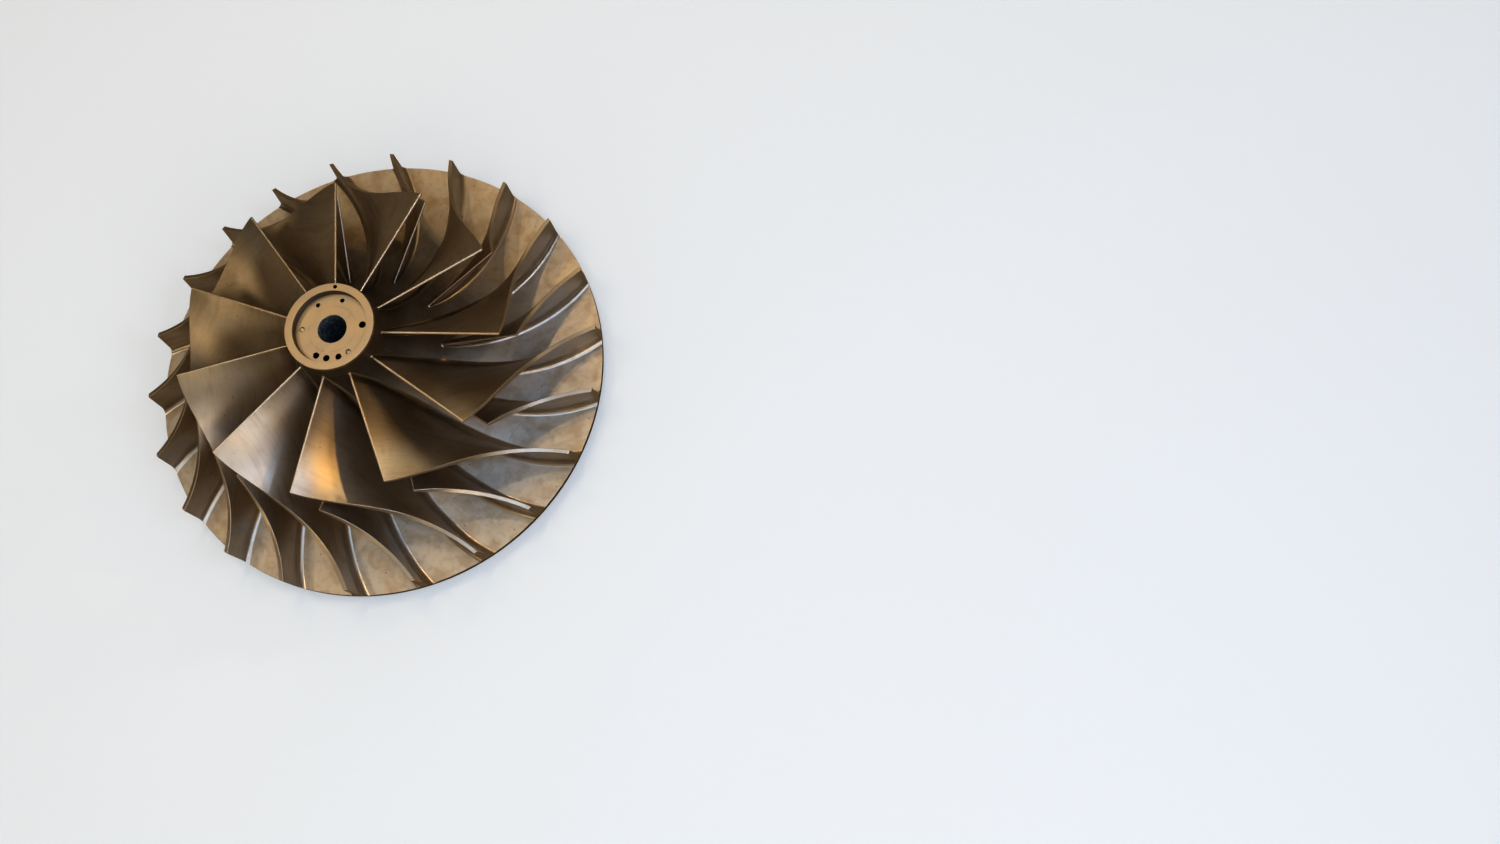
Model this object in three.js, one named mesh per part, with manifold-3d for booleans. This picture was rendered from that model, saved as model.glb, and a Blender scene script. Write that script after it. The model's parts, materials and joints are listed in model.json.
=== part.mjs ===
// Semi-open centrifugal compressor impeller, resting on its rear boss with the nose up.
// Millimetres, +Z up. The origin is the middle of the rear boss face, on the shaft axis.
// Seen from the nose each blade starts at the inducer and sweeps anticlockwise out to the rim.

import * as THREE from 'three';
import { mergeVertices } from 'three/addons/utils/BufferGeometryUtils.js';
import Module from 'manifold-3d';

const wasm = await Module();
wasm.setup();

// Driving dimensions
const BLADE_PAIRS = 11;
const WHEEL_RADIUS = 200;
const RIM_THICKNESS = 5;
const BOSS_RADIUS = 55;
const BOSS_HEIGHT = 10;
const NOSE_HEIGHT = 131;
const NOSE_RADIUS = 37.2;
const RECESS_RADIUS = 30.7;
const RECESS_DEPTH = 6.8;
const BORE_RADIUS = 11.9;
const EDGE_CHAMFER = 1;

// Inducer and exit of the blades
const INLET_ROOT_RADIUS = 38.7;
const INLET_ROOT_HEIGHT = 117;
const INLET_TIP_RADIUS = 136.4;
const INLET_TIP_HEIGHT = 115.7;
const EXIT_WIDTH = 28;

// Blade thickness, and the fillet that spreads its foot
const ROOT_THICKNESS = 5;
const TIP_THICKNESS = 3.4;
const LEADING_EDGE_THICKNESS = 2.2;
const LEADING_EDGE_TAPER = 0.12;
const FILLET = 3;
const SEAT_GAP = 0.35;

// Holes in the recess floor, all on one pitch circle, and one in the nose ring
const FLOOR_HOLE_CIRCLE = 25.2;
const FLOOR_HOLES = [
  { angle: 1, diameter: 6 },
  { angle: 70, diameter: 3.6 },
  { angle: 118, diameter: 3.6 },
  { angle: 174, diameter: 5.4 },
  { angle: -122, diameter: 5.4 },
  { angle: -101, diameter: 5.4 },
  { angle: -78, diameter: 5.4 },
  { angle: -58, diameter: 5.4 },
];
const FLOOR_HOLE_DEPTH = 14;
const RING_HOLE = { angle: 81, diameter: 3.6, depth: 8 };
const RING_HOLE_CIRCLE = 33.9;

// How finely the curved shapes are divided
const TURN_STEPS = 88;
const HUB_STEPS = 15;
const SPLITTER_FIRST_STEP = 6;
const HOLE_STEPS = 12;

const TAU = 2 * Math.PI;
const RIM_TOP = BOSS_HEIGHT + RIM_THICKNESS;
const PAIR_PITCH = TAU / BLADE_PAIRS;

// Hub and shroud lines, as radius and height, from the inducer to the exit
const hubLine = new THREE.CubicBezierCurve(
  new THREE.Vector2(INLET_ROOT_RADIUS, INLET_ROOT_HEIGHT),
  new THREE.Vector2(45.5, 64),
  new THREE.Vector2(WHEEL_RADIUS / 2, RIM_TOP),
  new THREE.Vector2(WHEEL_RADIUS, RIM_TOP),
);
const shroudLine = new THREE.CubicBezierCurve(
  new THREE.Vector2(INLET_TIP_RADIUS, INLET_TIP_HEIGHT),
  new THREE.Vector2(INLET_TIP_RADIUS + 3, INLET_TIP_HEIGHT - 18),
  new THREE.Vector2(WHEEL_RADIUS - 70, RIM_TOP + EXIT_WIDTH + 17.5),
  new THREE.Vector2(WHEEL_RADIUS, RIM_TOP + EXIT_WIDTH),
);

// How far each edge of a blade has turned about the axis, in radians, along those lines
const HUB_WRAP = [0.003, 0.6, 0.47, 0.756];
const SHROUD_WRAP = [0, 0.21, 0.621, 0.745];

// Where the splitter's leading edge meets the shroud line
const SPLITTER_SHROUD_START = 0.458;

function wrapAngle(control, t) {
  const s = 1 - t;
  return s * s * s * control[0] + 3 * s * s * t * control[1]
    + 3 * s * t * t * control[2] + t * t * t * control[3];
}

function polar(radius, angle, height) {
  return new THREE.Vector3(radius * Math.cos(angle), radius * Math.sin(angle), height);
}

// A closed mesh with shared vertices, position only, and its faces pointing out
function closedGeometry(geometry) {
  geometry.deleteAttribute('normal');
  geometry.deleteAttribute('uv');
  return mergeVertices(geometry, 1e-4);
}

function toManifold(geometry) {
  const closed = closedGeometry(geometry);
  return new wasm.Manifold(new wasm.Mesh({
    numProp: 3,
    vertProperties: new Float32Array(closed.attributes.position.array),
    triVerts: new Uint32Array(closed.index.array),
  }));
}

function fromManifold(solid) {
  const mesh = solid.getMesh();
  const geometry = new THREE.BufferGeometry();
  geometry.setAttribute('position', new THREE.BufferAttribute(mesh.vertProperties, 3));
  geometry.setIndex(new THREE.BufferAttribute(mesh.triVerts, 1));
  return geometry;
}

// The section of the solid wheel body: radius and height, anticlockwise from the bore
function bodySection() {
  const point = (radius, height) => new THREE.Vector2(radius, height);
  const c = EDGE_CHAMFER;
  const floor = NOSE_HEIGHT - RECESS_DEPTH;
  const outline = [
    point(BORE_RADIUS + c, 0),
    point(BOSS_RADIUS - c, 0),
    point(BOSS_RADIUS, c),
    point(BOSS_RADIUS, BOSS_HEIGHT),
    point(WHEEL_RADIUS - c, BOSS_HEIGHT),
    point(WHEEL_RADIUS, BOSS_HEIGHT + c),
  ];
  for (let step = HUB_STEPS; step >= 0; step -= 1) {
    outline.push(hubLine.getPoint(step / HUB_STEPS));
  }
  outline.push(
    point(NOSE_RADIUS, NOSE_HEIGHT - c / 2),
    point(NOSE_RADIUS - c / 2, NOSE_HEIGHT),
    point(RECESS_RADIUS + c / 2, NOSE_HEIGHT),
    point(RECESS_RADIUS, NOSE_HEIGHT - c / 2),
    point(RECESS_RADIUS, floor),
    point(BORE_RADIUS + c, floor),
    point(BORE_RADIUS, floor - c),
    point(BORE_RADIUS, c),
    point(BORE_RADIUS + c, 0),
  );
  return outline;
}

function drill(circle, angle, diameter, top, depth) {
  const cutter = new THREE.CylinderGeometry(diameter / 2, diameter / 2, depth * 2, HOLE_STEPS);
  cutter.rotateX(Math.PI / 2);
  const place = polar(circle, THREE.MathUtils.degToRad(angle), top);
  cutter.translate(place.x, place.y, place.z);
  return toManifold(cutter);
}

function wheelBody() {
  const lathe = new THREE.LatheGeometry(bodySection(), TURN_STEPS);
  lathe.rotateX(Math.PI / 2);
  let solid = toManifold(lathe);
  const floor = NOSE_HEIGHT - RECESS_DEPTH;
  for (const hole of FLOOR_HOLES) {
    solid = solid.subtract(drill(FLOOR_HOLE_CIRCLE, hole.angle, hole.diameter, floor, FLOOR_HOLE_DEPTH));
  }
  solid = solid.subtract(
    drill(RING_HOLE_CIRCLE, RING_HOLE.angle, RING_HOLE.diameter, NOSE_HEIGHT, RING_HOLE.depth),
  );
  return fromManifold(solid);
}

// The straight line across a blade, from hub to shroud, at one station along its length
function ruling(hubT, shroudT) {
  const hub = hubLine.getPoint(hubT);
  const slope = hubLine.getTangent(hubT);
  const shroud = shroudLine.getPoint(shroudT);
  const rootRadius = Math.min(WHEEL_RADIUS, hub.x - SEAT_GAP * slope.y);
  return {
    root: polar(rootRadius, wrapAngle(HUB_WRAP, hubT), hub.y + SEAT_GAP * slope.x),
    tip: polar(shroud.x, wrapAngle(SHROUD_WRAP, shroudT), shroud.y),
  };
}

// One station's points: two for each row of the faces, then the middle of the foot
function stationPoints(here, along, edge) {
  const span = here.tip.distanceTo(here.root);
  const heights = [0, FILLET / span, 0.5, 1];
  const points = [];
  for (const v of heights) {
    const middle = here.root.clone().lerp(here.tip, v);
    const normal = along(v).cross(here.tip.clone().sub(here.root)).normalize();
    const radius = Math.hypot(middle.x, middle.y);
    const angle = Math.atan2(middle.y, middle.x);
    const round = new THREE.Vector3(-Math.sin(angle), Math.cos(angle), 0);
    const full = THREE.MathUtils.lerp(ROOT_THICKNESS, TIP_THICKNESS, v);
    const blade = THREE.MathUtils.lerp(LEADING_EDGE_THICKNESS, full, edge);
    const foot = v === 0 ? 2 * FILLET : 0;
    const half = (blade + foot) / 2 / Math.abs(normal.dot(round)) / radius;
    points.push(polar(radius, angle + half, middle.z), polar(radius, angle - half, middle.z));
  }
  points.push(here.root);
  return points;
}

// One blade as a closed shell: two faces, its foot, shroud edge, leading edge and trailing edge
function bladeGeometry(firstStep, shroudStart) {
  const first = firstStep / HUB_STEPS;
  const lineAt = (t) => ruling(t, shroudStart + ((1 - shroudStart) * (t - first)) / (1 - first));
  const steps = HUB_STEPS - firstStep;
  const rows = 4;
  const points = [];
  for (let i = 0; i <= steps; i += 1) {
    const t = (firstStep + i) / HUB_STEPS;
    const before = lineAt(Math.max(first, t - 0.01));
    const after = lineAt(Math.min(1, t + 0.01));
    const along = (v) => after.root.clone().lerp(after.tip, v).sub(before.root.clone().lerp(before.tip, v));
    const edge = Math.min(1, (t - first) / LEADING_EDGE_TAPER);
    points.push(...stationPoints(lineAt(t), along, edge));
  }
  const stride = 2 * rows + 1;
  const vertex = (i, row, side) => stride * i + 2 * row + side;
  const foot = (i) => stride * i + 2 * rows;
  const index = [];
  const quad = (a, b, c, d) => index.push(a, b, c, a, c, d);
  const top = rows - 1;
  for (let i = 0; i < steps; i += 1) {
    for (let row = 0; row < top; row += 1) {
      quad(vertex(i, row, 0), vertex(i, row + 1, 0), vertex(i + 1, row + 1, 0), vertex(i + 1, row, 0));
      quad(vertex(i, row, 1), vertex(i + 1, row, 1), vertex(i + 1, row + 1, 1), vertex(i, row + 1, 1));
    }
    quad(vertex(i, 0, 0), vertex(i + 1, 0, 0), foot(i + 1), foot(i));
    quad(foot(i), foot(i + 1), vertex(i + 1, 0, 1), vertex(i, 0, 1));
    quad(vertex(i, top, 0), vertex(i, top, 1), vertex(i + 1, top, 1), vertex(i + 1, top, 0));
  }
  for (let row = 1; row < top; row += 1) {
    quad(vertex(0, row, 0), vertex(0, row, 1), vertex(0, row + 1, 1), vertex(0, row + 1, 0));
    quad(vertex(steps, row, 0), vertex(steps, row + 1, 0), vertex(steps, row + 1, 1), vertex(steps, row, 1));
  }
  quad(vertex(0, 0, 0), foot(0), vertex(0, 1, 1), vertex(0, 1, 0));
  index.push(foot(0), vertex(0, 0, 1), vertex(0, 1, 1));
  quad(vertex(steps, 0, 0), vertex(steps, 1, 0), vertex(steps, 1, 1), foot(steps));
  index.push(foot(steps), vertex(steps, 1, 1), vertex(steps, 0, 1));
  const geometry = new THREE.BufferGeometry();
  const flat = points.flatMap((p) => [p.x, p.y, p.z]);
  geometry.setAttribute('position', new THREE.Float32BufferAttribute(flat, 3));
  geometry.setIndex(index);
  return geometry;
}

const bodySteel = new THREE.MeshStandardMaterial({ color: 0xb39c80, roughness: 0.42, metalness: 0.9 });
const bladeSteel = new THREE.MeshStandardMaterial({ color: 0x9a8266, roughness: 0.36, metalness: 0.9 });
const splitterSteel = new THREE.MeshStandardMaterial({ color: 0x8a745c, roughness: 0.36, metalness: 0.9 });

function named(name, geometry, material) {
  const mesh = new THREE.Mesh(geometry, material);
  mesh.name = name;
  return mesh;
}

const impeller = new THREE.Group();
impeller.add(named('wheel_body', wheelBody(), bodySteel));

const fullBlade = bladeGeometry(0, 0);
const splitterBlade = bladeGeometry(SPLITTER_FIRST_STEP, SPLITTER_SHROUD_START);
for (let pair = 0; pair < BLADE_PAIRS; pair += 1) {
  const number = String(pair + 1).padStart(2, '0');
  const turn = Math.PI / 2 - pair * PAIR_PITCH;
  const full = named(`full_blade_${number}`, fullBlade, bladeSteel);
  full.rotation.z = turn;
  const splitter = named(`splitter_blade_${number}`, splitterBlade, splitterSteel);
  splitter.rotation.z = turn - PAIR_PITCH / 2;
  impeller.add(full, splitter);
}

export default impeller;
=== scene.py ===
# %% [markdown]
# # A centrifugal compressor wheel, laid on its back
# The real wheel is milled from one steel forging. A disc flares up into a hub with a
# nose ring, and 11 long blades stand on it with 11 shorter splitter blades between them.
# This lesson dresses the measured parts of that wheel: it rebuilds the body and the
# blades with fine curved meshes, gives them worn satin steel, and lights them.
# Every length is in metres, in the frame of the measured parts, with +Z up the shaft.

# %% Tools and the fixed frame
import bisect
import json
import math

import bmesh
import bpy
from mathutils import Matrix, Vector

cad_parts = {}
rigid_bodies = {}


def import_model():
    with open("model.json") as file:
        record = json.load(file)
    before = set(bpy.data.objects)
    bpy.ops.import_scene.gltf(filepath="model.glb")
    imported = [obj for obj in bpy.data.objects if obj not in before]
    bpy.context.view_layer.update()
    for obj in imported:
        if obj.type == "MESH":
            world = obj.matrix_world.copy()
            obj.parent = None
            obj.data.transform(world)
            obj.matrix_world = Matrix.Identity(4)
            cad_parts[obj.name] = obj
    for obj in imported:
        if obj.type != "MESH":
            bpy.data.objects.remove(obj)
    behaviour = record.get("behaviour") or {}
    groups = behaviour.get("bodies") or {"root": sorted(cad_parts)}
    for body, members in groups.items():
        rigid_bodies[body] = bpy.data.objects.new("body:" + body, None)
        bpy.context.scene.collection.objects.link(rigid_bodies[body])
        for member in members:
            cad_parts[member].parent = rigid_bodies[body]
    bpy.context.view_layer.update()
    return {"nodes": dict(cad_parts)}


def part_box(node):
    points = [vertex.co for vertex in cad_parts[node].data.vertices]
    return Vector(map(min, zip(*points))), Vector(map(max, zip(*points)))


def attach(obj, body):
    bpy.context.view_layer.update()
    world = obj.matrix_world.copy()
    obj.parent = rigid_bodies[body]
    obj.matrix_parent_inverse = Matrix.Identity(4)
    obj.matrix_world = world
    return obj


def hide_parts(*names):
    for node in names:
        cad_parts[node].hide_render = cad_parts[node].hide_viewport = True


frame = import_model()
MM = 0.001

# %% [markdown]
# ## The sizes that shape everything
# The frame gives the outer sizes, so that the fine meshes cannot drift away from the
# measured ones. The flow passage is bounded by two lines, one along the hub and one
# along the blade tips. Each is a Bezier curve in the half plane of radius and height,
# which needs only four points, and a second set of four numbers says how far the
# blades have turned about the shaft along it, in radians.

# %% Driving sizes
_, body_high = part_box("wheel_body")
WHEEL_RADIUS = body_high.x
NOSE_TOP = body_high.z
BOSS_RADIUS = 55 * MM
BOSS_HEIGHT = 10 * MM
RIM_TOP = 15 * MM
NOSE_RADIUS = 37.2 * MM
RECESS_RADIUS = 30.7 * MM
RECESS_FLOOR = NOSE_TOP - 6.8 * MM
BORE_RADIUS = 11.9 * MM
BORE_CHAMFER = 0.3 * MM

HUB_LINE = [
    Vector((38.7, 117)) * MM,
    Vector((45.5, 64)) * MM,
    Vector((100, 15)) * MM,
    Vector((200, 15)) * MM,
]
SHROUD_LINE = [
    Vector((136.4, 115.7)) * MM,
    Vector((139.4, 97.7)) * MM,
    Vector((130, 60.5)) * MM,
    Vector((200, 43)) * MM,
]
HUB_TURN = [0.003, 0.6, 0.47, 0.756]
SHROUD_TURN = [0, 0.21, 0.621, 0.745]

full_names = sorted(name for name in frame["nodes"] if name.startswith("full_blade"))
splitter_names = sorted(name for name in frame["nodes"] if name.startswith("splitter_blade"))
PITCH = math.tau / len(full_names)
print("blades:", len(full_names), "full and", len(splitter_names), "splitters")

# %% [markdown]
# ## Points on the two lines
# Everything on a wheel is easiest to think of as a radius, an angle and a height. One
# function walks a Bezier curve, for points and for plain numbers alike, and one turns
# such a triple into a place in space.

# %% Curve helpers
def bezier(control, t):
    start, leave, arrive, end = control
    s = 1 - t
    return start * s**3 + leave * (3 * s * s * t) + arrive * (3 * s * t * t) + end * t**3


def polar(radius, angle, height):
    return Vector((radius * math.cos(angle), radius * math.sin(angle), height))


def smooth_step(value):
    clamped = min(1, max(0, value))
    return clamped * clamped * (3 - 2 * clamped)


print("hub line ends at radius", round(bezier(HUB_LINE, 1).x, 3))

# %% [markdown]
# ## Finishing a mesh
# A machined part has flat faces that meet at crisp edges and curved ones that run
# smooth. So all faces are shaded smooth, and an edge is marked sharp where its two
# faces meet at more than the sharp angle. Much of a wheel comes off a lathe, so another
# helper spins a drawn half section round the shaft.

# %% Mesh helpers
SHARP_ANGLE = math.radians(28)
MERGE_DISTANCE = 0.002 * MM


def finished_mesh(name, bm):
    bmesh.ops.remove_doubles(bm, verts=bm.verts, dist=MERGE_DISTANCE)
    bmesh.ops.recalc_face_normals(bm, faces=bm.faces)
    for face in bm.faces:
        face.smooth = True
    for edge in bm.edges:
        edge.smooth = edge.calc_face_angle(0) < SHARP_ANGLE
    mesh = bpy.data.meshes.new(name)
    bm.to_mesh(mesh)
    bm.free()
    return mesh


def spin_full_turn(bm, geometry, steps):
    """Spins a half section all the way round the shaft."""
    bmesh.ops.spin(
        bm,
        geom=geometry,
        cent=(0, 0, 0),
        axis=(0, 0, 1),
        dvec=(0, 0, 0),
        angle=math.tau,
        steps=steps,
        use_merge=True,
    )


def add_line(bm, section):
    """Draws an open half section of radii and heights, and gives its points and edges."""
    points = [bm.verts.new((across, 0, up)) for across, up in section]
    return points + [bm.edges.new(pair) for pair in zip(points, points[1:])]


def shown_object(name, mesh):
    piece = bpy.data.objects.new(name, mesh)
    bpy.context.scene.collection.objects.link(piece)
    return piece


print("an edge stays crisp from", round(math.degrees(SHARP_ANGLE)), "degrees")

# %% [markdown]
# ## The turned body
# Disc, hub and nose are one turned shape, so the quickest true way to make them is a
# lathe's: draw half of the section as a closed outline and spin it about the shaft. Its
# corners are listed as radii and heights, in the order that a pencil would go round,
# with the curved hub line between the rim and the nose.

# %% Corners of the section
HUB_POINTS = 60

hub_curve = [tuple(bezier(HUB_LINE, 1 - step / HUB_POINTS)) for step in range(HUB_POINTS + 1)]
CORNERS = {
    "bore foot": (BORE_RADIUS + BORE_CHAMFER, 0),
    "boss foot": (BOSS_RADIUS, 0),
    "boss root": (BOSS_RADIUS, BOSS_HEIGHT),
    "rim back": (WHEEL_RADIUS, BOSS_HEIGHT),
    "rim front": hub_curve[0],
    "nose outside": (NOSE_RADIUS, NOSE_TOP),
    "nose inside": (RECESS_RADIUS, NOSE_TOP),
    "recess floor": (RECESS_RADIUS, RECESS_FLOOR),
    "bore mouth": (BORE_RADIUS + BORE_CHAMFER, RECESS_FLOOR),
    "bore neck": (BORE_RADIUS, RECESS_FLOOR - BORE_CHAMFER),
    "bore end": (BORE_RADIUS, BORE_CHAMFER),
}
print("the section has", len(CORNERS), "corners, and the hub line", len(hub_curve), "points")

# %% [markdown]
# ## Broken corners
# A machinist breaks sharp corners, and a tool leaves its own small radius in hollow
# ones. Both are rounded on the outline before it is spun, with a bevel on its corner
# points, because that costs nothing and rounds the whole ring.

# %% Outline and spin
BODY_STEPS = 288
BREAK_SEGMENTS = 3
BREAKS = {
    "boss foot": 1 * MM,
    "boss root": 3 * MM,
    "rim back": 0.6 * MM,
    "rim front": 0.35 * MM,
    "nose outside": 0.35 * MM,
    "nose inside": 0.3 * MM,
    "recess floor": 0.4 * MM,
}


def body_outline(bm):
    names = list(CORNERS)
    hub_at = names.index("rim front")
    before = [CORNERS[name] for name in names[:hub_at]]
    after = [CORNERS[name] for name in names[hub_at + 1:]]
    points = [bm.verts.new((radius, 0, height)) for radius, height in before + hub_curve + after]
    for here, there in zip(points, points[1:] + points[:1]):
        bm.edges.new((here, there))
    for name, size in BREAKS.items():
        radius, height = CORNERS[name]
        corner = min(bm.verts, key=lambda vert: (vert.co - Vector((radius, 0, height))).length)
        bmesh.ops.bevel(
            bm,
            geom=[corner],
            offset=size,
            segments=BREAK_SEGMENTS,
            profile=0.5,
            affect="VERTICES",
            material=-1,
        )


def spun_body():
    bm = bmesh.new()
    body_outline(bm)
    spin_full_turn(bm, bm.verts[:] + bm.edges[:], BODY_STEPS)
    return bm


body_form = spun_body()
print("body:", len(body_form.verts), "points,", len(body_form.faces), "faces")

# %% [markdown]
# ## Drilled holes
# The recess floor has a ring of small holes and the nose ring has one. A drill leaves
# a cone at the bottom and a countersink breaks the mouth, so the cutter is a spun
# half section of just that. One boolean takes all the cutters away at once.

# %% Hole cutters
HOLE_CIRCLE = 25.2 * MM
# Each hole is an angle in degrees, then its diameter and depth in millimetres.
FLOOR_HOLES = [
    (1, 5.4, 14),
    (70, 3.4, 10),
    (118, 3.4, 10),
    (174, 4.4, 1.5),
    (-122, 5, 14),
    (-101, 5, 14),
    (-78, 4.8, 14),
    (-58, 4.2, 1.8),
]
RING_HOLE_CIRCLE = 33.9 * MM
RING_HOLE = (81, 3, 8)
COUNTERSINK = 0.2 * MM
CUTTER_ABOVE = 1 * MM
DRILL_POINT = math.radians(59)
HOLE_STEPS = 28


def add_cutter(bm, circle, angle, diameter, top, depth):
    """A drill's half section, spun and set in place: diameter and depth are in millimetres."""
    radius = diameter * MM / 2
    depth *= MM
    section = [
        (0, -depth - radius / math.tan(DRILL_POINT)),
        (radius, -depth),
        (radius, -COUNTERSINK),
        (radius + COUNTERSINK + CUTTER_ABOVE, CUTTER_ABOVE),
        (0, CUTTER_ABOVE),
    ]
    standing = set(bm.verts)
    spin_full_turn(bm, add_line(bm, section), HOLE_STEPS)
    made = [vert for vert in bm.verts if vert not in standing]
    bmesh.ops.translate(bm, verts=made, vec=polar(circle, math.radians(angle), top))


cutters = bmesh.new()
for angle, diameter, depth in FLOOR_HOLES:
    add_cutter(cutters, HOLE_CIRCLE, angle, diameter, RECESS_FLOOR, depth)
ring_angle, ring_diameter, ring_depth = RING_HOLE
add_cutter(cutters, RING_HOLE_CIRCLE, ring_angle, ring_diameter, NOSE_TOP, ring_depth)
print("hole cutters:", len(FLOOR_HOLES) + 1)

# %% [markdown]
# ## Cutting, and keeping the flow
# A boolean can leave a mesh open, so the cell counts its open edges. The body also keeps
# something for its finish. Each point remembers its angle with the sweep of the blades
# taken out, and its share of the hub line, so that milling lines can fan out along the
# passages as the cutter ran.

# %% Cut the holes
FLOW_STEPS = 400


def cut_away(piece, cutter):
    modifier = piece.modifiers.new("holes", "BOOLEAN")
    modifier.object = cutter
    modifier.operation = "DIFFERENCE"
    modifier.solver = "EXACT"
    evaluated = piece.evaluated_get(bpy.context.evaluated_depsgraph_get())
    cut = bpy.data.meshes.new_from_object(evaluated)
    piece.modifiers.clear()
    piece.data = cut
    bpy.data.objects.remove(cutter)


hub_shares = [step / FLOW_STEPS for step in range(FLOW_STEPS + 1)]
hub_radii = [bezier(HUB_LINE, share).x for share in hub_shares]


def keep_flow(bm):
    """Gives each point its angle with the blades' sweep taken out, and its share of the hub line."""
    flow = bm.verts.layers.float_vector.new("flow")
    for vert in bm.verts:
        place = min(bisect.bisect_left(hub_radii, vert.co.xy.length), FLOW_STEPS)
        share = hub_shares[place]
        angle = math.atan2(vert.co.y, vert.co.x) - bezier(HUB_TURN, share)
        vert[flow] = (math.cos(angle), math.sin(angle), share)


wheel_body = shown_object("wheel_disc_and_hub", finished_mesh("wheel_disc_and_hub", body_form))
cut_away(wheel_body, shown_object("hole_cutters", finished_mesh("hole_cutters", cutters)))
body_check = bmesh.new()
body_check.from_mesh(wheel_body.data)
print("open edges in the body:", sum(not edge.is_manifold for edge in body_check.edges))
keep_flow(body_check)
wheel_body.data = finished_mesh("wheel_disc_and_hub", body_check)
even_shading = wheel_body.modifiers.new("flat faces stay flat", "WEIGHTED_NORMAL")
even_shading.keep_sharp = True
print("body faces:", len(wheel_body.data.polygons))

# %% [markdown]
# ## The middle surface of a blade
# A milled blade is ruled: at every station along it, one straight line runs from the
# hub to the tip, because the side of the cutter leaves a straight line. So a blade's
# middle surface is known from its two edge curves. A station is a share of the hub
# line, and a splitter is the same surface that starts further in.

# %% Stations and straight lines across
SPLITTER_HUB_START = 0.4
SPLITTER_SHROUD_START = 0.458


class BladeForm:
    """One kind of blade: where it starts on the hub and shroud lines, and its stations."""

    def __init__(self, hub_start, shroud_start, stations):
        self.hub_start = hub_start
        self.shroud_start = shroud_start
        self.stations = stations

    def ends(self, t):
        share = (t - self.hub_start) / (1 - self.hub_start)
        shroud_t = self.shroud_start + (1 - self.shroud_start) * share
        hub = bezier(HUB_LINE, t)
        shroud = bezier(SHROUD_LINE, shroud_t)
        root = polar(hub.x, bezier(HUB_TURN, t), hub.y)
        tip = polar(shroud.x, bezier(SHROUD_TURN, shroud_t), shroud.y)
        return root, tip

    def middle(self, t, across):
        root, tip = self.ends(t)
        return root.lerp(tip, across)


full_form = BladeForm(0, 0, 84)
splitter_form = BladeForm(SPLITTER_HUB_START, SPLITTER_SHROUD_START, 56)
inlet_root, inlet_tip = full_form.ends(0)
print("inlet edge length:", round((inlet_tip - inlet_root).length, 4))

# %% [markdown]
# ## Stepping sideways on a blade
# The faces lie half a thickness to each side of the middle surface. A side step must
# keep to the turned surface it starts from, or the foot would leave the hub, so it is
# taken in two parts: some distance along the flow line and some round the shaft. Near
# the leading edge the step is square to the blade, so that its nose can be rounded.
# Further on it turns into a step straight round the shaft, so that the outer end of
# the blade stays on the rim.

# %% Side steps
PROBE = 0.002
TURN_SHARE = 0.3


def stepped(form, t, across, ahead, aside):
    here = form.middle(t, across)
    before = form.middle(t - PROBE, across)
    after = form.middle(t + PROBE, across)
    radius = here.xy.length
    outward = Vector((here.x, here.y, 0)) / radius
    around = Vector((-outward.y, outward.x, 0))
    along = (after - before) / (2 * PROBE)
    speed_around = along.dot(around)
    meridian = along - around * speed_around
    speed_out = meridian.length
    meridian /= speed_out
    share_around = speed_around / along.length
    share_out = speed_out / along.length
    root, tip = form.ends(t)
    normal = along.cross(tip - root).normalized()
    square = around * share_out - meridian * share_around
    aside /= abs(normal.dot(square))
    turned = smooth_step((t - form.hub_start) / (TURN_SHARE * (1 - form.hub_start)))
    move_out = ahead * share_out - (1 - turned) * aside * share_around
    move_around = ahead * share_around + aside * ((1 - turned) * share_out + turned / share_out)
    moved = form.middle(t + move_out / speed_out, across)
    angle = math.atan2(here.y, here.x) + move_around / radius
    return polar(moved.xy.length, angle, moved.z)


print("a side step at the inlet tip:", stepped(full_form, 0, 1, 0, 1 * MM) - inlet_tip)

# %% [markdown]
# ## The section of a blade
# Cut across, a blade is a tall thin wall with a fillet on each side of its foot, left
# by the round end of the cutter, and a tiny broken edge at its tip. The fillet is
# tight at the leading edge and opens further in. The foot reaches a little way into
# the body, so that no gap can show. The list runs from the middle of the foot up one
# side to the middle of the tip edge.

# %% Section rows
FILLET = 5.2 * MM
INLET_FILLET = 1.6 * MM
FILLET_GROWTH = 0.5
FILLET_STEPS = 9
FACE_ROWS = 9
SINK = 1.6 * MM
TUCK = 0.1 * MM
EDGE_BREAK = 0.25 * MM
ROOT_THICKNESS = 5 * MM
TIP_THICKNESS = 3.4 * MM
INLET_THICKNESS = 2.2 * MM
INLET_TAPER = 0.16
NOSE_STEPS = 6


def half_thickness(form, t, across):
    grown = smooth_step((t - form.hub_start) / (INLET_TAPER * (1 - form.hub_start)))
    full = ROOT_THICKNESS + (TIP_THICKNESS - ROOT_THICKNESS) * across
    return (INLET_THICKNESS + (full - INLET_THICKNESS) * grown) / 2


def section_rows(form, t):
    root, tip = form.ends(t)
    span = (tip - root).length
    opened = smooth_step((t - form.hub_start) / (FILLET_GROWTH * (1 - form.hub_start)))
    fillet = INLET_FILLET + (FILLET - INLET_FILLET) * opened
    rows = [(-SINK, 0), (-SINK, half_thickness(form, t, 0) + fillet)]
    for step in range(FILLET_STEPS + 1):
        turn = math.pi / 2 * step / FILLET_STEPS
        height = fillet * (1 - math.cos(turn)) - TUCK
        rows.append((height, half_thickness(form, t, height / span) + fillet * (1 - math.sin(turn))))
    low = fillet - TUCK
    for step in range(1, FACE_ROWS + 1):
        height = low + (span - EDGE_BREAK - low) * step / FACE_ROWS
        rows.append((height, half_thickness(form, t, height / span)))
    rows.append((span, half_thickness(form, t, 1) - EDGE_BREAK))
    rows.append((span, 0))
    return span, rows


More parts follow.
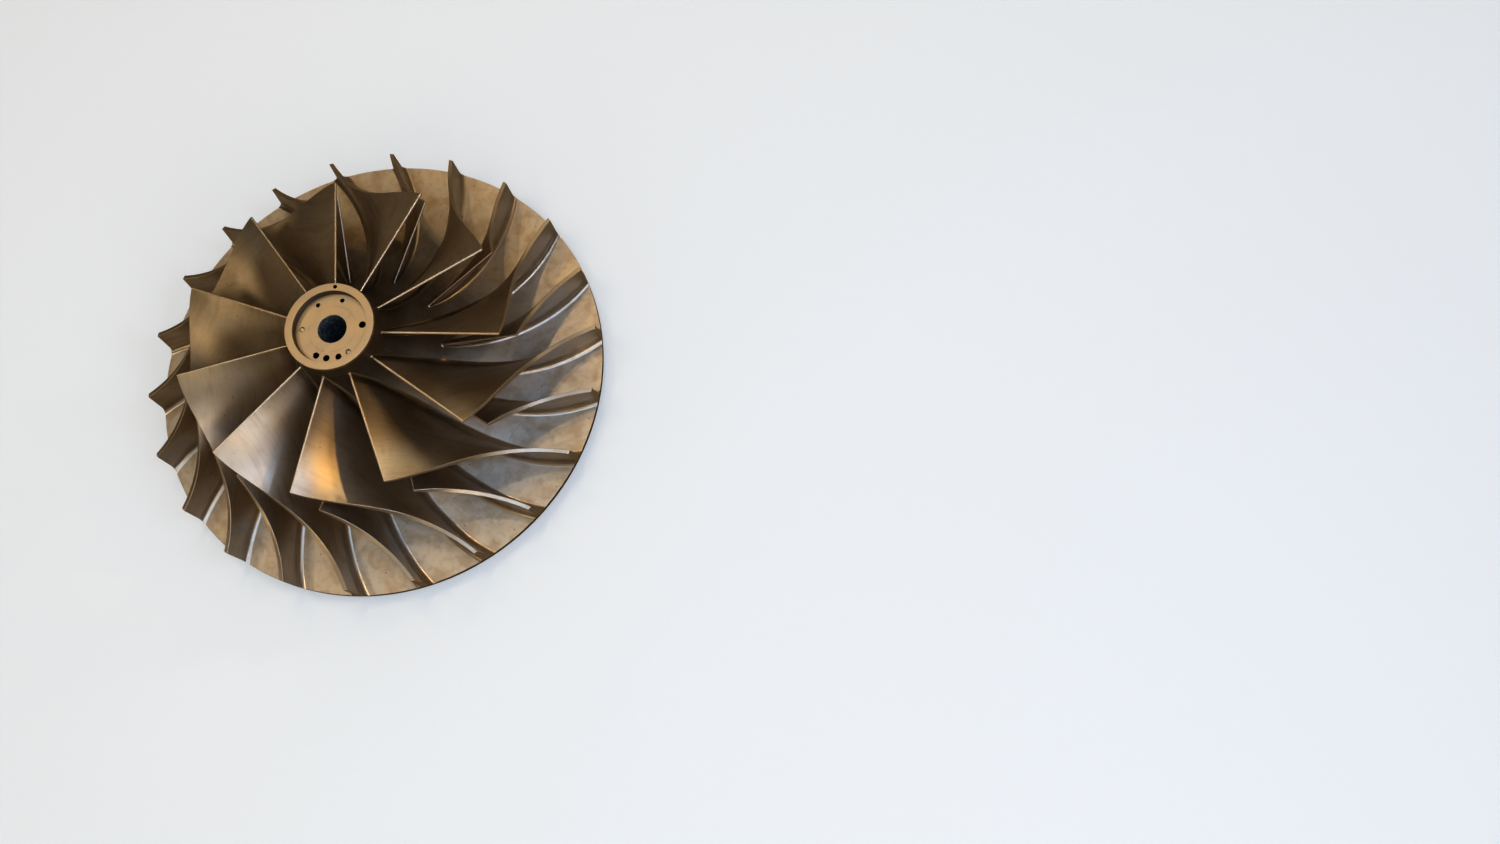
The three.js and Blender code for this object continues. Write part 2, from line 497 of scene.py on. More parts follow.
ROWS = 4 + FILLET_STEPS + FACE_ROWS
print("rows up one side:", ROWS + 1, "of", len(section_rows(full_form, 0)[1]))

# %% [markdown]
# ## From a grid to a blade
# A blade is a sheet wrapped round that section. So it starts as a flat grid with one
# direction along the blade and the other round the section, and each point is moved to
# its place. The first few rings go round the nose of the leading edge like the end of
# a stadium. The two long sides of the grid meet under the foot and merge there, the
# first ring merges into the line of the leading edge, and one face closes the outer end.
# Each point also keeps how far along and how high it is, for the finish to follow.

# %% Blade meshes
def point_on_blade(form, ring, row):
    side = 1 if row <= ROWS else -1
    level = row if row <= ROWS else 2 * ROWS - row
    nose = min(1, ring / NOSE_STEPS)
    station = max(0, ring - NOSE_STEPS)
    t = form.hub_start + (1 - form.hub_start) * station / form.stations
    span, rows = section_rows(form, t)
    height, offset = rows[level]
    ahead = 0
    if ring <= NOSE_STEPS:
        turn = math.pi / 2 * nose
        ahead = INLET_THICKNESS / 2 - offset * math.cos(turn)
        offset *= math.sin(turn)
    place = stepped(form, t, height / span, ahead, side * offset)
    return place, Vector((t, height, 0)), 1 if level >= ROWS - 1 else 0


def blade_mesh(name, form):
    rings = NOSE_STEPS + form.stations
    around = 2 * ROWS
    bm = bmesh.new()
    milling = bm.verts.layers.float_vector.new("milling")
    tip_edge = bm.verts.layers.float.new("edge")
    bmesh.ops.create_grid(bm, x_segments=rings, y_segments=around, size=0.5)
    for vert in bm.verts:
        ring = round((vert.co.x + 0.5) * rings)
        row = round((vert.co.y + 0.5) * around)
        vert.co, vert[milling], vert[tip_edge] = point_on_blade(form, ring, row)
    bmesh.ops.remove_doubles(bm, verts=bm.verts, dist=MERGE_DISTANCE)
    bmesh.ops.holes_fill(bm, edges=[edge for edge in bm.edges if edge.is_boundary], sides=0)
    print(name, "open edges:", sum(not edge.is_manifold for edge in bm.edges))
    return finished_mesh(name, bm)


full_blade = blade_mesh("full_blade", full_form)
splitter_blade = blade_mesh("splitter_blade", splitter_form)
print("faces:", len(full_blade.polygons), "a full blade,", len(splitter_blade.polygons), "a splitter")

# %% [markdown]
# ## Eleven of each
# Each blade is the same mesh, turned about the shaft into its own place. The turn goes
# into the mesh and not the object, as the measured parts keep theirs.

# %% Place the blades
def placed_blade(node, mesh, turn):
    turned = mesh.copy()
    turned.name = node + "_milled"
    turned.transform(Matrix.Rotation(turn, 4, "Z"))
    for point in turned.attributes["milling"].data:
        point.vector.z = turn
    return shown_object(node + "_milled", turned)


blades = {}
for number, node in enumerate(full_names):
    blades[node] = placed_blade(node, full_blade, math.pi / 2 - number * PITCH)
for number, node in enumerate(splitter_names):
    blades[node] = placed_blade(node, splitter_blade, math.pi / 2 - (number + 0.5) * PITCH)
print("blades placed:", len(blades))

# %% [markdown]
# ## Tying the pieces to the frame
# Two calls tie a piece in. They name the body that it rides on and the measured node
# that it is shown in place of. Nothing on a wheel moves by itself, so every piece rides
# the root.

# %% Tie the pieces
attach(wheel_body, "root")
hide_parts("wheel_body")
for node, blade in blades.items():
    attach(blade, "root")
    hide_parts(node)
print("pieces tied to the root:", 1 + len(blades))

# %% [markdown]
# ## Writing a finish as sums
# A finish is a network of nodes, and most of it is arithmetic on masks. One small class
# wraps an output socket, so that masks can be added and multiplied as plain Python
# expressions, and each sign in them adds its node.

# %% Channel
class Channel:
    """One output socket of a network, which can be used in sums."""

    def __init__(self, network, socket):
        self.network = network
        self.socket = socket

    def joined(self, operation, first, second):
        return self.network.node("ShaderNodeMath", {"operation": operation}, {0: first, 1: second})

    def __add__(self, other):
        return self.joined("ADD", self, other)

    def __sub__(self, other):
        return self.joined("SUBTRACT", self, other)

    def __mul__(self, other):
        return self.joined("MULTIPLY", self, other)

    def __radd__(self, other):
        return self.joined("ADD", other, self)

    def __rsub__(self, other):
        return self.joined("SUBTRACT", other, self)

    def __rmul__(self, other):
        return self.joined("MULTIPLY", other, self)


print("a channel can be added, subtracted and multiplied, from either side")

# %% [markdown]
# ## Making any other node
# Every other node comes from one method, for a material and for the world alike. It
# sets the node's settings first, and then its values and links. A finish is such a
# network that starts from bare metal and ends in one surface.

# %% Network and Finish
class Network:
    """A tree of nodes in the making."""

    def __init__(self, tree):
        self.nodes = tree.nodes
        self.links = tree.links

    def plug(self, socket, value):
        if isinstance(value, Channel):
            self.links.new(value.socket, socket)
        else:
            socket.default_value = value

    def node(self, kind, settings, inputs, output=0):
        made = self.nodes.new(kind)
        for name, value in settings.items():
            setattr(made, name, value)
        for name, value in inputs.items():
            self.plug(made.inputs[name], value)
        return Channel(self, made.outputs[output])


class Finish(Network):
    """A bare metal in the making."""

    def __init__(self, name):
        self.material = bpy.data.materials.new(name)
        self.material.use_nodes = True
        super().__init__(self.material.node_tree)
        self.shader = self.nodes["Principled BSDF"]
        self.shader.inputs["Metallic"].default_value = 1
        self.place = self.node("ShaderNodeTexCoord", {}, {}, "Object")

    def surface(self, colour, roughness, height):
        """Sets the shader: height is in millimetres, and only its slopes show."""
        normal = self.node("ShaderNodeBump", {}, {"Height": height, "Distance": MM, "Strength": 1})
        self.plug(self.shader.inputs["Base Color"], colour)
        self.plug(self.shader.inputs["Roughness"], roughness)
        self.plug(self.shader.inputs["Normal"], normal)
        print(self.material.name, "has", len(self.nodes), "nodes")
        return self.material


print("a finish starts from bare metal, and its patterns from object coordinates")

# %% [markdown]
# ## A few words for patterns
# Worn steel is described with very few words. Three of them do most of the work: noise,
# a mask that fades in between two values, and one colour blended into another. Noise
# on a stretched place is drawn out into streaks, because it then changes more quickly
# in one direction than in another.

# %% Noise, fades and blends
def stretched(place, factors):
    operation = {"operation": "MULTIPLY"}
    return place.network.node("ShaderNodeVectorMath", operation, {0: place, 1: factors})


def noise(place, scale, detail=3, warp=0):
    """Cloudy noise that changes about so many times in a metre."""
    inputs = {"Vector": place, "Scale": scale, "Detail": detail, "Distortion": warp}
    return place.network.node("ShaderNodeTexNoise", {}, inputs)


def fade(value, low, high):
    """0 at low and 1 at high, smooth between them, whichever is the larger."""
    inputs = {"Value": value, "From Min": low, "From Max": high}
    return value.network.node("ShaderNodeMapRange", {"interpolation_type": "SMOOTHSTEP"}, inputs)


def blended(share, first, second):
    """The mix node keeps its colours in sockets 6 and 7 and gives the result in socket 2."""
    inputs = {0: share, 6: first, 7: second}
    return share.network.node("ShaderNodeMix", {"data_type": "RGBA"}, inputs, 2)


print("noise, fades and blends are ready")

# %% [markdown]
# ## Marks
# Four more words make marks. The distance from an upright axis gives everything that a
# lathe or a compass leaves, such as a thin ring round some centre. Specks come from a
# pattern of cells, with one spot in some of them, and scratches are noise that is
# drawn out a long way in one direction.

# %% Rings, specks and scratches
RING_CORE = 0.25
SPECK_CORE = 0.5
SPECK_BORDER = 0.9
SCRATCH_BORDER = 0.05


def distance_from(place, centre):
    """Distance in the wheel's plane from an axis that stands on the centre."""
    flat = {"Vector": place, "Location": (-centre[0], -centre[1], 0), "Scale": (1, 1, 0)}
    moved = place.network.node("ShaderNodeMapping", {}, flat)
    return place.network.node("ShaderNodeVectorMath", {"operation": "LENGTH"}, {0: moved}, "Value")


def thin_ring(distance, radius, width):
    off = distance.network.node("ShaderNodeMath", {"operation": "ABSOLUTE"}, {0: distance - radius})
    return fade(off, width, width * RING_CORE)


def specks(place, spacing, size, share):
    """Round spots of about this size in that share of cells of that spacing."""
    cells = {"Vector": place, "Scale": 1 / spacing}
    near = place.network.node("ShaderNodeTexVoronoi", {}, cells, "Distance")
    colour = place.network.node("ShaderNodeTexVoronoi", {}, cells, "Color")
    chance = place.network.node("ShaderNodeSeparateColor", {}, {"Color": colour})
    reach = size / spacing
    return fade(near, reach, reach * SPECK_CORE) * fade(chance, share, share * SPECK_BORDER)


def scratches(place, turn, length, width, rarity):
    """Straight fine scratches at one turn: the rarer, the fewer of them show."""
    inputs = {"Vector": place, "Rotation": (0, 0, turn), "Scale": (1 / length, 1 / width, 1 / length)}
    drawn = place.network.node("ShaderNodeMapping", {}, inputs)
    return fade(noise(drawn, 1, detail=1), rarity, rarity + SCRATCH_BORDER)


print("rings, specks and scratches are ready")

# %% [markdown]
# ## The blades' finish
# The blades are milled steel with a satin face. It is a warm tan in the photo's light,
# with silvery and brownish clouds from handling and oil, faint streaks along the flow,
# very fine cutter lines that follow the blade and a few specks. The tip edge is paler,
# partly rubbed wear and partly a painted highlight along the top of the blade. The foot
# of each blade is painted darker towards the nose: painted shade in the crease, with
# some oil. The pattern follows the blade by the attribute that was kept on its mesh, so
# that the lines bend with it.

# %% Blade steel
TAN = (0.57, 0.495, 0.405, 1)
SILVER = (0.595, 0.555, 0.51, 1)
BROWN = (0.41, 0.33, 0.25, 1)
# Dark oil for pits, scribed arcs and the washer ring, and also painted shade at the blades' feet, deep
# in the passages, round the nose and low down.
OIL_AND_SHADE = (0.12, 0.1, 0.08, 1)
PALE = (0.71, 0.63, 0.51, 1)
BLADE_ROUGHNESS = 0.43
# Each pair is a height above the hub where a mark begins and one where it is full.
FOOT_SHADE_AND_OIL = (13 * MM, 1 * MM)
WIPED_FOOT = (10 * MM, 5 * MM)


def blade_finish():
    steel = Finish("blade_steel")
    milling = steel.node("ShaderNodeAttribute", {"attribute_name": "milling"}, {}, "Vector")
    along = steel.node("ShaderNodeSeparateXYZ", {}, {"Vector": milling}, "X")
    height = steel.node("ShaderNodeSeparateXYZ", {}, {"Vector": milling}, "Y")
    edge = steel.node("ShaderNodeAttribute", {"attribute_name": "edge"}, {}, "Fac")
    lines = noise(stretched(milling, (9, 1250, 1)), 1, detail=2)
    streaks = noise(stretched(milling, (2.6, 150, 1)), 1, detail=4)
    clouds = noise(steel.place, 21, detail=4, warp=0.3)
    mottle = noise(steel.place, 130)
    stains = noise(steel.place, 48, detail=5, warp=0.3)

    colour = blended(fade(clouds, 0.38, 0.66), TAN, SILVER)
    colour = blended(fade(streaks, 0.5, 0.74) * 0.45, colour, BROWN)
    colour = blended(fade(stains, 0.6, 0.76) * 0.4, colour, BROWN)
    colour = blended(fade(lines, 0.45, 0.75) * 0.3, colour, BROWN)
    colour = blended(fade(mottle, 0.5, 0.75) * 0.25, colour, BROWN)
    # Painted shade with some oil: the foot of each blade goes patchily darker, most towards the nose.
    foot = fade(height, *FOOT_SHADE_AND_OIL) * fade(along, 0.75, 0.4)
    colour = blended(foot * fade(clouds, 0.3, 0.6) * 0.55, colour, OIL_AND_SHADE)
    pits = specks(steel.place, spacing=9 * MM, size=0.8 * MM, share=0.35)
    squat = stretched(steel.place, (1, 1, 0.8))
    nicks = specks(squat, spacing=13 * MM, size=0.7 * MM, share=0.3)
    colour = blended(pits * 0.6, colour, OIL_AND_SHADE)
    colour = blended(nicks, colour, PALE)
    # Partly rubbed wear and partly a painted highlight: the top face of the tip edge is painted paler.
    colour = blended(edge * fade(streaks, 0.35, 0.7) * 0.35, colour, PALE)

    roughness = BLADE_ROUGHNESS + (clouds - 0.5) * 0.12 + (mottle - 0.5) * 0.09 + (lines - 0.5) * 0.06
    roughness = roughness + fade(stains, 0.6, 0.76) * 0.06 - fade(height, *WIPED_FOOT) * 0.1
    bump = lines * 0.008 + mottle * 0.012 - pits * 0.05 + nicks * 0.03
    return steel.surface(colour, roughness, bump)


blade_steel = blade_finish()
for blade in blades.values():
    blade.data.materials.append(blade_steel)

# %% [markdown]
# ## The hub's and disc's finish
# The passages are milled with a ball cutter that follows the flow, so fine lines fan
# out along them. Outside, where hands and rags reach, the disc is pale and cloudy, with
# wiping marks, small dark pits and a few thin arcs that something scribed on it. Deeper
# in, towards the hub and the throat, it is painted dark brown: painted shade between the
# blades, with some oil.

# %% Passage steel
DISC_TAN = (0.56, 0.5, 0.43, 1)
DISC_GREY = (0.55, 0.525, 0.49, 1)
# Each scribed arc is a centre and a radius in millimetres.
SCRIBED = [((28, 158), 14), ((-30, -95), 71), ((150, -95), 38)]
SCRIBED_WIDTH = 0.5 * MM
DISC_ROUGHNESS = 0.55
# Each pair is a radius where the painted shade and oil begin and one where they are full.
HUB_SHADE_AND_OIL = (125 * MM, 60 * MM)
THROAT_SHADE_AND_OIL = (58 * MM, 42 * MM)


def passage_finish():
    steel = Finish("passage_steel")
    flow = steel.node("ShaderNodeAttribute", {"attribute_name": "flow"}, {}, "Vector")
    radius = distance_from(steel.place, (0, 0))
    lines = noise(stretched(flow, (170, 170, 5)), 1, detail=2)
    streaks = noise(stretched(flow, (24, 24, 2.4)), 1, detail=4)
    clouds = noise(steel.place, 24, detail=5, warp=0.6)
    patches = noise(steel.place, 60, detail=4, warp=0.5)
    mottle = noise(steel.place, 190)

    colour = blended(fade(clouds, 0.36, 0.64), DISC_TAN, DISC_GREY)
    colour = blended(fade(patches, 0.44, 0.66) * 0.6, colour, BROWN)
    colour = blended(fade(streaks, 0.5, 0.76) * 0.3, colour, BROWN)
    colour = blended(fade(mottle, 0.48, 0.72) * 0.35, colour, BROWN)
    # Painted shade with some oil: darker towards the hub, and darker again in the throat.
    colour = blended(fade(radius, *HUB_SHADE_AND_OIL) * 0.6, colour, OIL_AND_SHADE)
    colour = blended(fade(radius, *THROAT_SHADE_AND_OIL) * 0.6, colour, OIL_AND_SHADE)
    pits = specks(steel.place, spacing=8 * MM, size=0.8 * MM, share=0.35)
    colour = blended(pits * 0.7, colour, OIL_AND_SHADE)
    arcs = 0
    for (across, up), size in SCRIBED:
        distance = distance_from(steel.place, (across * MM, up * MM))
        arcs = thin_ring(distance, size * MM, SCRIBED_WIDTH) + arcs
    arcs = arcs * fade(clouds, 0.5, 0.6)
    colour = blended(arcs * 0.25, colour, OIL_AND_SHADE)
    one_way = scratches(steel.place, turn=0.6, length=30 * MM, width=0.8 * MM, rarity=0.76)
    other_way = scratches(steel.place, turn=-0.9, length=26 * MM, width=0.7 * MM, rarity=0.77)
    rubbed = one_way + other_way
    colour = blended(rubbed * 0.45, colour, PALE)

    roughness = DISC_ROUGHNESS + (clouds - 0.5) * 0.16 + (mottle - 0.5) * 0.1
    roughness = roughness + (lines - 0.5) * 0.06 - rubbed * 0.1
    bump = lines * 0.01 + mottle * 0.014 - pits * 0.06 - arcs * 0.02
    return steel.surface(colour, roughness, bump)


passage_steel = passage_finish()

# %% [markdown]
# ## Turned surfaces
# The nose, the recess, the rim and the back come off a lathe, so their marks are
# concentric: noise that changes quickly with radius and height and not at all round the
# shaft. Painted shade darkens the outside of the nose ring, the wall and corner of the
# recess, and in patches the low faces near the floor, and a washer has left a thin ring
# on the recess floor.

# %% Turned steel
NOSE_TAN = (0.52, 0.43, 0.31, 1)
NOSE_GREY = (0.49, 0.42, 0.34, 1)
NOSE_ROUGHNESS = 0.48
WASHER_RADIUS = 19.8 * MM
WASHER_LINE = 0.35 * MM


def turned_finish():
    steel = Finish("turned_steel")
    radius = distance_from(steel.place, (0, 0))
    height = steel.node("ShaderNodeSeparateXYZ", {}, {"Vector": steel.place}, "Z")
    section = steel.node("ShaderNodeCombineXYZ", {}, {"X": radius, "Y": height})
    rings = noise(section, 1900, detail=2)
    bands = noise(section, 260)
    clouds = noise(steel.place, 42, detail=4, warp=1.2)
    mottle = noise(steel.place, 230)

    colour = blended(fade(clouds, 0.35, 0.68), NOSE_TAN, NOSE_GREY)
    colour = blended(fade(bands, 0.5, 0.7) * 0.25, colour, BROWN)
    stains = noise(steel.place, 110, detail=4, warp=1)
    colour = blended(fade(stains, 0.62, 0.74) * 0.4, colour, BROWN)
    inside = fade(radius, RECESS_RADIUS + 0.3 * MM, RECESS_RADIUS + 0.1 * MM)
    # Painted shade: the wall and corner of the recess, below its top edge, go dark.
    wall = fade(radius, RECESS_RADIUS - 1.2 * MM, RECESS_RADIUS - 0.1 * MM) * inside
    colour = blended(wall * fade(height, NOSE_TOP, NOSE_TOP - 1.5 * MM) * 0.8, colour, OIL_AND_SHADE)
    # Painted shade: the outer flank of the nose ring, under its top edge, goes dark.
    flank_shade = fade(radius, NOSE_RADIUS - 0.5 * MM, NOSE_RADIUS)
    flank_shade = flank_shade * fade(height, NOSE_TOP - 0.3 * MM, NOSE_TOP - 4 * MM)
    colour = blended(flank_shade * 0.75, colour, OIL_AND_SHADE)
    washer = thin_ring(radius, WASHER_RADIUS, WASHER_LINE) * fade(clouds, 0.45, 0.6)
    colour = blended(washer * 0.3, colour, OIL_AND_SHADE)
    # Painted shade: the turned faces low down, under the disc and near the floor, go patchily darker.
    below = fade(height, 12 * MM, 4 * MM)
    colour = blended(below * fade(clouds, 0.35, 0.7) * 0.6, colour, OIL_AND_SHADE)

    roughness = NOSE_ROUGHNESS + (clouds - 0.5) * 0.14 + (rings - 0.5) * 0.1 + (mottle - 0.5) * 0.06
    bump = rings * 0.006 + mottle * 0.008 - washer * 0.02
    return steel.surface(colour, roughness, bump)


turned_steel = turned_finish()

# %% [markdown]
# ## Drilled surfaces
# The small holes are dark and shiny with old oil, with fine rings down their walls. The
# bore is wider and duller, and a blue grey.

# %% Drilled steel
SOOT_BLACK = (0.12, 0.1, 0.085, 1)
SOOT_BROWN = (0.42, 0.35, 0.28, 1)
BORE_DARK = (0.2, 0.26, 0.33, 1)
BORE_GREY = (0.5, 0.55, 0.6, 1)
HOLE_ROUGHNESS = 0.24


def drilled_finish():
    steel = Finish("drilled_steel")
    height = steel.node("ShaderNodeSeparateXYZ", {}, {"Vector": steel.place}, "Z")
    turns = noise(steel.node("ShaderNodeCombineXYZ", {}, {"Z": height}), 1500, detail=1)
    soot = noise(steel.place, 240, warp=1)
    colour = blended(fade(soot, 0.5, 0.7), SOOT_BLACK, SOOT_BROWN)
    bore = fade(distance_from(steel.place, (0, 0)), BORE_RADIUS + 2 * MM, BORE_RADIUS + 1 * MM)
    bore_grey = blended(fade(soot, 0.4, 0.7), BORE_DARK, BORE_GREY)
    colour = blended(bore, colour, bore_grey)
    roughness = HOLE_ROUGHNESS + soot * 0.2 + bore * 0.3
    return steel.surface(colour, roughness, turns * 0.03 + soot * 0.02)


drilled_steel = drilled_finish()

# %% [markdown]
# ## Which surface is which
# The body is one mesh with three finishes, and a face gets its own by where its middle
# lies. In the bore or a deep hole it is drilled, on the hub and the disc between the
# blades it is milled, and anywhere else it is turned. Two of the small holes are so
# shallow that they stay as bright as the floor round them.

# %% Sort the faces
PASSAGE, TURNED, DRILLED = range(3)
# As in the list of holes, this depth is in millimetres.
SHALLOW_DEPTH = 2
HOLE_REACH = 4 * MM
RING_HOLE_REACH = 2.5 * MM
WALL_MARGIN = 1 * MM
MARGIN = 0.1 * MM


def in_shallow_hole(place):
    for angle, _, depth in FLOOR_HOLES:
        centre = polar(HOLE_CIRCLE, math.radians(angle), place.z)
        if depth < SHALLOW_DEPTH and (place - centre).length < HOLE_REACH:
            return True
    return False


def in_ring_hole(place):
    centre = polar(RING_HOLE_CIRCLE, math.radians(ring_angle), place.z)
    near = (place - centre).length < RING_HOLE_REACH
    return near and BOSS_HEIGHT * 2 < place.z < NOSE_TOP - MARGIN


def kind_of_surface(face):
    centre = face.center
    radius = centre.xy.length
    if radius < BORE_RADIUS + MARGIN:
        return DRILLED
    if radius < RECESS_RADIUS - WALL_MARGIN and centre.z < RECESS_FLOOR - MARGIN:
        return TURNED if in_shallow_hole(centre) else DRILLED
    if in_ring_hole(centre):
        return DRILLED
    on_hub = radius > HUB_LINE[0].x - MARGIN / 2 and RIM_TOP - MARGIN < centre.z < HUB_LINE[0].y
    return PASSAGE if on_hub else TURNED


wheel_body.data.materials.clear()
for finish in (passage_steel, turned_steel, drilled_steel):
    wheel_body.data.materials.append(finish)
counts = [0, 0, 0]
for face in wheel_body.data.polygons:
    face.material_index = kind_of_surface(face)
    counts[face.material_index] += 1
print("passage, turned and drilled faces:", counts)

# %% [markdown]
# ## A floor that sweeps up
# The wheel lies on a plain pale floor. A photographer's floor has no far edge: paper
# runs over the floor and up the wall in one soft curve. Here that curve goes all the way
# round, so the same line as for a turned part does it: a half section, spun. It glows a
# little, which keeps it pale, and the steel does not mirror it.

# %% Floor
SWEEP_RADIUS = 3.6
SWEEP_CURVE = 0.8
SWEEP_HEIGHT = 3.2
SWEEP_STEPS = 96
CURVE_POINTS = 12
FLOOR_LOOK = {
    "Base Color": (0.5, 0.53, 0.57, 1),
    "Roughness": 0.8,
    "Specular IOR Level": 0.2,
    "Emission Color": (0.9, 0.95, 1, 1),
    "Emission Strength": 0.25,
}


def sweep_mesh():
    bm = bmesh.new()
    flat = SWEEP_RADIUS - SWEEP_CURVE
    turns = [math.pi / 2 * step / CURVE_POINTS for step in range(CURVE_POINTS + 1)]
    bend = [(flat + SWEEP_CURVE * math.sin(turn), SWEEP_CURVE * (1 - math.cos(turn))) for turn in turns]
    section = [(0, 0), *bend, (SWEEP_RADIUS, SWEEP_HEIGHT)]
    spin_full_turn(bm, add_line(bm, section), SWEEP_STEPS)
    return finished_mesh("pale_floor", bm)


floor = shown_object("pale_floor", sweep_mesh())
floor.visible_glossy = False
floor_paint = bpy.data.materials.new("pale_floor")
floor_paint.use_nodes = True
floor_shader = floor_paint.node_tree.nodes["Principled BSDF"]
for socket, value in FLOOR_LOOK.items():
    floor_shader.inputs[socket].default_value = value
floor.data.materials.append(floor_paint)
print("floor faces:", len(floor.data.polygons))

# %% [markdown]
# ## A faint glow to mirror
# Bare metal shows little of its own: it shows what it mirrors. So the world glows
# faintly from above and a little more from below, and every face has something to
# mirror. The floor hides the low glow from sight, but the steel does not mirror the
# floor, so the glow still keeps the rim and the outer ends of the blades from going
# black.

# %% World
SKY_COLOUR = (1, 0.78, 0.5, 1)
HIGH_GLOW = 0.04
LOW_GLOW = 0.16
GLOW_TOP = 0.15
GLOW_FOOT = -0.05

world = bpy.data.worlds.new("studio")
bpy.context.scene.world = world
world.use_nodes = True
sky = world.node_tree.nodes["Background"]
sky.inputs["Color"].default_value = SKY_COLOUR
heaven = Network(world.node_tree)
direction = heaven.node("ShaderNodeTexCoord", {}, {}, "Generated")
upward = heaven.node("ShaderNodeSeparateXYZ", {}, {"Vector": direction}, "Z")
band = {"From Min": GLOW_TOP, "From Max": GLOW_FOOT, "To Min": HIGH_GLOW, "To Max": LOW_GLOW}
glow = heaven.node("ShaderNodeMapRange", {}, {"Value": upward, **band})
heaven.plug(sky.inputs["Strength"], glow)
print("the world glows", HIGH_GLOW, "above and", LOW_GLOW, "below")

# %% [markdown]
# ## Three kinds of light
# A compact lamp makes crisp shadows and highlights, a spot lights one round patch and
# leaves the rest alone, and a broad box fills in softly. Each is placed by its turn
# about the shaft and its lift above the floor. Lamps and boxes look at the middle of
# the wheel's foot, and a spot looks at the blade that it is for.

# %% Kinds of light
LAMP_DISTANCE = 2.5
LAMP_SIZE = 0.1
BOX_DISTANCE = 1.6
BOX_SIZE = 0.72


def hang_light(kind, name, turn, lift, distance, power, colour, target):
    """Aims a light at the target, with its turn and lift in degrees."""
    light = bpy.data.lights.new(name, kind)
    light.energy = power
    light.color = colour
    lamp = bpy.data.objects.new(name, light)
    across = math.cos(math.radians(lift))
    away = polar(across, math.radians(turn), math.sin(math.radians(lift)))
    lamp.location = target + away * distance
    lamp.rotation_mode = "QUATERNION"
    lamp.rotation_quaternion = away.to_track_quat("Z", "Y")
    bpy.context.scene.collection.objects.link(lamp)
    return light


def round_light(name, turn, lift, distance, size, power, colour):
    """A disc of light that looks at the origin, with its size in metres."""
    light = hang_light("AREA", name, turn, lift, distance, power, colour, Vector())
    light.shape = "DISK"
    light.size = size


def compact_lamp(name, turn, lift, power, colour):
    round_light(name, turn, lift, LAMP_DISTANCE, LAMP_SIZE, power, colour)


def soft_box(name, turn, lift, power, colour):
    round_light(name, turn, lift, BOX_DISTANCE, BOX_SIZE, power, colour)


def spot_lamp(name, turn, lift, target, radius, power, colour):
    """Lights a round patch about the target, with its radius in millimetres."""
    light = hang_light("SPOT", name, turn, lift, LAMP_DISTANCE, power, colour, target)
    light.shadow_soft_size = LAMP_SIZE / 2
    light.spot_size = 2 * math.atan(radius * MM / LAMP_DISTANCE)
    light.spot_blend = 1


print("lamps hang", LAMP_DISTANCE, "m off and boxes", BOX_DISTANCE, "m off")

# %% [markdown]
# ## Where the lights hang
# A warm lamp almost overhead draws each blade's shadow on the disc, and amber ones warm
# the far side. Cool and white ones at the right turn the near blades silver. A deep
# amber spot, low at the right, shines between the blades and stops at a crisp line on
# the blade nearest the viewer, and a gold one warms the blade to its right. Boxes all
# round fill the rest, cool ones high on the near and right sides and warm ones
# elsewhere.

# %% Lights
NEAR_BLADE = Vector((8, -70, 97)) * MM
RIGHT_BLADE = Vector((44, -95, 103)) * MM
BROAD_LAMP_SIZE = 0.3
SMALL_BOX_SIZE = 0.6
WARM = (1, 0.82, 0.57)
AMBER = (1, 0.66, 0.28)
DEEP_AMBER = (1, 0.57, 0.1)
WHITE = (1, 0.92, 0.8)
COOL = (0.62, 0.75, 1)
# The numbers of a light are its turn and lift in degrees and its power in watts.
compact_lamp("overhead_lamp", 85, 77.5, 3.2, WARM)
compact_lamp("far_high_lamp", 75, 66, 3.3, AMBER)
compact_lamp("far_lamp", 105, 52, 2.4, AMBER)
compact_lamp("left_lamp", 150, 60, 1.7, WHITE)
compact_lamp("amber_lamp", 22, 24, 2.2, (1, 0.72, 0.36))
compact_lamp("right_high_lamp", -10, 44, 2.3, COOL)
round_light("right_lamp", -16, 36, LAMP_DISTANCE, BROAD_LAMP_SIZE, 1.2, (1, 0.93, 0.87))
spot_lamp("amber_spot", 14, 30, NEAR_BLADE, 62, 60, DEEP_AMBER)
spot_lamp("gold_spot", 36, 30, RIGHT_BLADE, 70, 16, (1, 0.86, 0.6))
soft_box("right_high_box", -20, 53, 2.15, COOL)
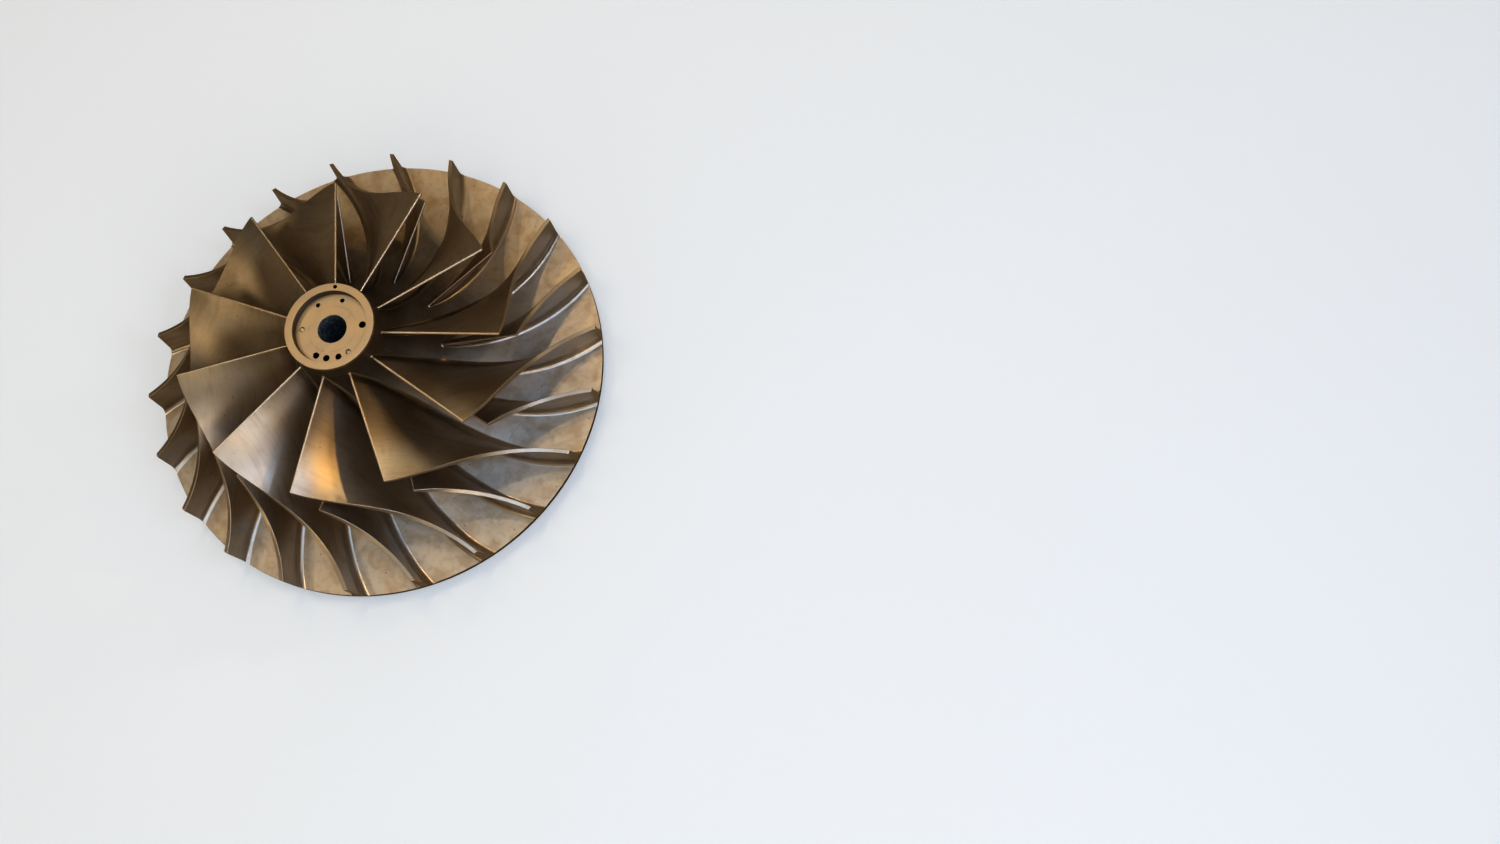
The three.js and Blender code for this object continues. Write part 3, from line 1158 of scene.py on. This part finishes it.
soft_box("near_right_box", -60, 33, 2.9, (1, 0.92, 0.84))
soft_box("near_box", -60, 53, 0.65, AMBER)
soft_box("near_high_box", -60, 71, 2.6, (0.45, 0.7, 1))
soft_box("near_left_box", -120, 33, 1.5, (1, 0.79, 0.48))
soft_box("left_high_box", 180, 71, 2.6, (1, 0.81, 0.54))
soft_box("far_high_box", 60, 71, 0.6, WHITE)
soft_box("far_right_box", 60, 33, 1, (1, 0.8, 0.5))
round_light("left_low_box", -150, 15, LAMP_DISTANCE, SMALL_BOX_SIZE, 2.3, (1, 0.78, 0.48))

# %% [markdown]
# ## The camera
# The place, turn and focal length of the photo's camera were found by matching the rim,
# the nose ring and the ends of the blades in the photo with the same places on the
# wheel. A camera looks the opposite way to its own Z axis, so its right and up
# directions say all of its turn. The photo's contrast is high, and so is the picture's.

# %% Camera
CAMERA_PLACE = Vector((0.39947, -0.41397, 1.08762))
CAMERA_RIGHT = Vector((0.99083, -0.09224, -0.09869))
CAMERA_UP = Vector((0.11676, 0.95219, 0.28231))
FOCAL_PIXELS = 1315.9
PHOTO_WIDTH = 1500
SENSOR = 36
NEAR_LIMIT = 0.05

camera_data = bpy.data.cameras.new("photo_camera")
camera_data.sensor_width = SENSOR
camera_data.lens = SENSOR * FOCAL_PIXELS / PHOTO_WIDTH
camera_data.clip_start = NEAR_LIMIT
camera = bpy.data.objects.new("photo_camera", camera_data)
back = CAMERA_RIGHT.cross(CAMERA_UP)
axes = Matrix((CAMERA_RIGHT, CAMERA_UP, back)).transposed()
camera.matrix_world = Matrix.Translation(CAMERA_PLACE) @ axes.to_4x4()
bpy.context.scene.collection.objects.link(camera)
bpy.context.scene.camera = camera
bpy.context.scene.view_settings.view_transform = "Standard"
bpy.context.scene.view_settings.look = "High Contrast"
print("lens:", round(camera_data.lens, 2), "mm")

# %% [markdown]
# ## The end
# The box of the measured parts was kept at the start, and the dressed wheel has to fill
# the same one. The last line brings the scene up to date.

# %% Finish
bpy.context.view_layer.update()
